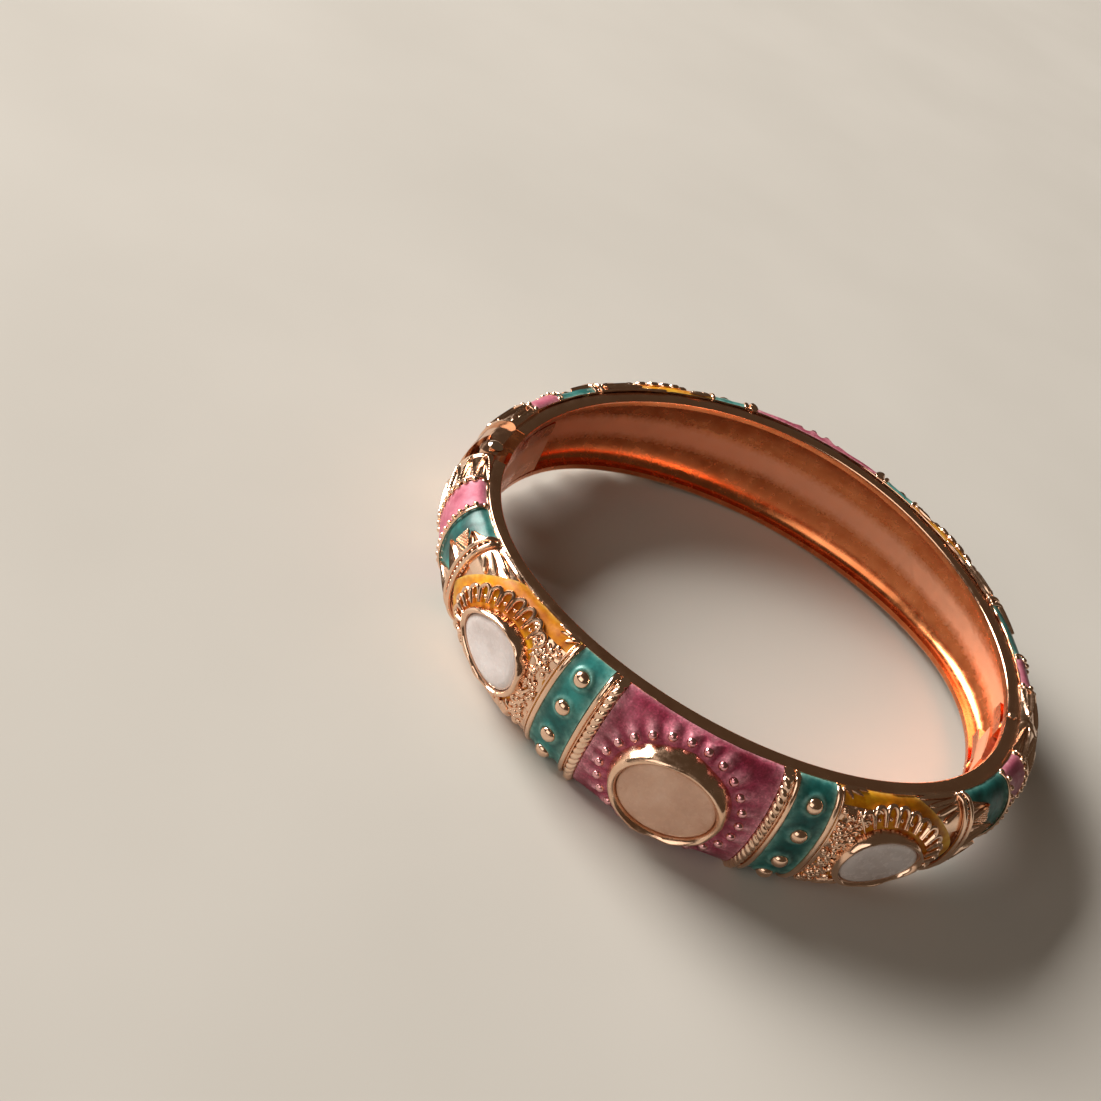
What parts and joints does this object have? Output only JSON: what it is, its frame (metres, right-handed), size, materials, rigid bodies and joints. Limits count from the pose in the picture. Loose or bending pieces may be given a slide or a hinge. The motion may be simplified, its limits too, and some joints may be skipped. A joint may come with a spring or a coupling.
{
  "type": "bangle bracelet",
  "caption": "Hinged oval bangle of two cast enamelled half bands with bezel-set stones, a pinned hinge and a spring clip closure.",
  "frame": {"origin": "middle of the wrist opening, on the surface the bangle lies on", "axes": "+Z along the axis of the wrist opening, +X from the hinge to the closure, -Y towards the front half, which swings open"},
  "size_m": [0.0688, 0.0648, 0.0136],
  "materials": {
    "band_metal": "polished rose-gold plating, copper-coloured inside",
    "trim_metal": "polished rose-gold plating with aged recesses",
    "hinge_metal": "satin rose-gold plating",
    "pin_metal": "polished rose-gold plating",
    "magenta_enamel": "glossy, pearlescent",
    "teal_enamel": "glossy, translucent over engraved metal",
    "yellow_enamel": "glossy, translucent over engraved metal",
    "pink_enamel": "glossy",
    "peach_stone": "polished, opaque",
    "white_stone": "polished, milky"
  },
  "bodies": {
    "back_half": {"back_shell": "band_metal", "back_centre_enamel": "magenta_enamel", "back_stud_enamel": "teal_enamel", "back_leaf_enamel": "yellow_enamel", "back_point_enamel": "teal_enamel", "back_pink_enamel": "pink_enamel", "back_centre_bezel": "trim_metal", "back_centre_stone": "peach_stone", "back_side_bezels": "trim_metal", "back_side_stones": "white_stone", "back_rope_borders": "trim_metal", "back_dividers": "trim_metal", "back_enamel_studs": "trim_metal", "back_relief_points": "trim_metal", "back_end_caps": "trim_metal", "back_hinge_block": "trim_metal", "hinge_pin": "pin_metal", "closure_lugs": "hinge_metal", "closure_pin": "pin_metal"},
    "front_half": {"front_shell": "band_metal", "front_centre_enamel": "magenta_enamel", "front_stud_enamel": "teal_enamel", "front_leaf_enamel": "yellow_enamel", "front_point_enamel": "teal_enamel", "front_pink_enamel": "pink_enamel", "front_centre_bezel": "trim_metal", "front_centre_stone": "peach_stone", "front_side_bezels": "trim_metal", "front_side_stones": "white_stone", "front_rope_borders": "trim_metal", "front_dividers": "trim_metal", "front_enamel_studs": "trim_metal", "front_relief_points": "trim_metal", "front_end_caps": "trim_metal", "front_hinge_knuckle": "hinge_metal", "spring_clip": "hinge_metal"}
  },
  "joints": [
    {"name": "hinge", "type": "hinge", "parent": "back_half", "child": "front_half", "pos_m": [-0.0314, -0.0014, 0.0068], "axis": [0, 0, -1], "range_deg": [0, 45]}
  ]
}
